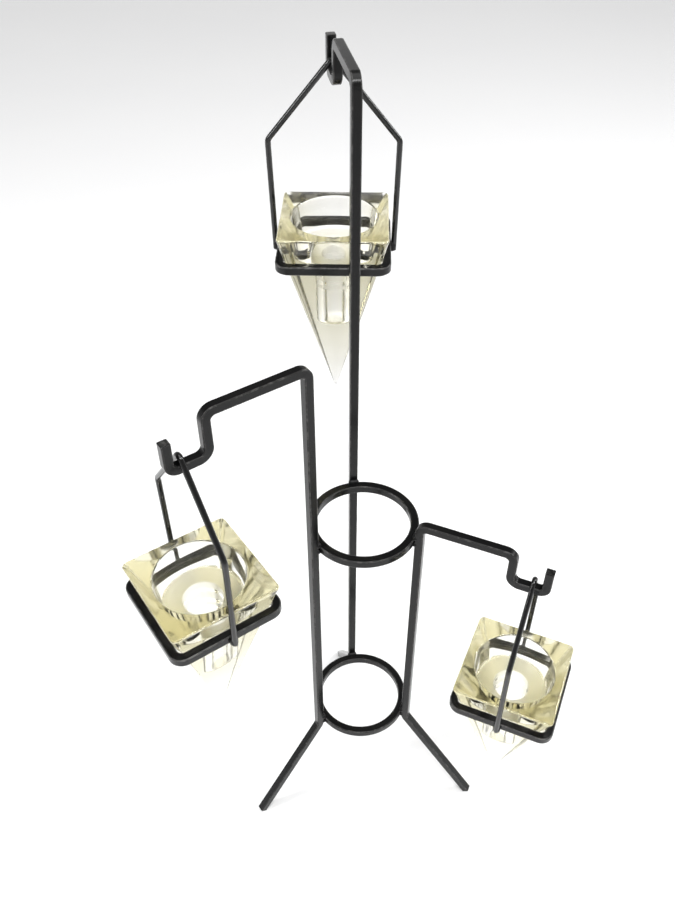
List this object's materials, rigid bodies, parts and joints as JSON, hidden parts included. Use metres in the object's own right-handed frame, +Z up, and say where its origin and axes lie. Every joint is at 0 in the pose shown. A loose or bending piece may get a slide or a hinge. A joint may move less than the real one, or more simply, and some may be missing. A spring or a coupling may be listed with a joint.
{
  "type": "votive candle rack",
  "caption": "Free-standing rack of bent square bars on splayed legs, with square glass votive cups hung by wire bails from hooked arms at stepped heights.",
  "frame": {"origin": "on the floor, on the common axis of the two rings", "axes": "+Z up; +Y along the tall rod's arm, from the rings' axis to its hook"},
  "size_m": [0.2739, 0.2446, 0.5176],
  "materials": {
    "rack_iron": "satin black paint",
    "hanger_iron": "satin black paint",
    "weld_bead": "satin black paint over a weld bead",
    "cup_glass": "clear pressed glass with a pale straw tint"
  },
  "bodies": {
    "rack": {"rod_tall": "rack_iron", "rod_middle": "rack_iron", "rod_short": "rack_iron", "ring_upper": "rack_iron", "ring_lower": "rack_iron", "weld_upper_tall": "weld_bead", "weld_upper_middle": "weld_bead", "weld_upper_short": "weld_bead", "weld_lower_tall": "weld_bead", "weld_lower_middle": "weld_bead", "weld_lower_short": "weld_bead"},
    "hanger_tall": {"frame_tall": "hanger_iron", "bail_tall": "hanger_iron", "weld_bail_tall": "weld_bead"},
    "cup_tall": {"cup_tall": "cup_glass"},
    "hanger_middle": {"frame_middle": "hanger_iron", "bail_middle": "hanger_iron", "weld_bail_middle": "weld_bead"},
    "cup_middle": {"cup_middle": "cup_glass"},
    "hanger_short": {"frame_short": "hanger_iron", "bail_short": "hanger_iron", "weld_bail_short": "weld_bead"},
    "cup_short": {"cup_short": "cup_glass"}
  },
  "joints": [
    {"name": "swing_tall", "type": "hinge", "parent": "rack", "child": "hanger_tall", "pos_m": [0, 0.1059, 0.49849], "axis": [0.9816, -0.1908, 0], "range_deg": [-15, 40]},
    {"name": "swing_middle", "type": "hinge", "parent": "rack", "child": "hanger_middle", "pos_m": [-0.09847, -0.04697, 0.37299], "axis": [-0.4305, 0.9026, 0], "range_deg": [-15, 40]},
    {"name": "swing_short", "type": "hinge", "parent": "rack", "child": "hanger_short", "pos_m": [0.08999, -0.05733, 0.25749], "axis": [-0.5373, -0.8434, 0], "range_deg": [-15, 40]},
    {"name": "lift_tall", "type": "slide", "parent": "hanger_tall", "child": "cup_tall", "axis": [0, 0, 1], "range_m": [0, 0.04]},
    {"name": "lift_middle", "type": "slide", "parent": "hanger_middle", "child": "cup_middle", "axis": [0, 0, 1], "range_m": [0, 0.04]},
    {"name": "lift_short", "type": "slide", "parent": "hanger_short", "child": "cup_short", "axis": [0, 0, 1], "range_m": [0, 0.04]}
  ]
}
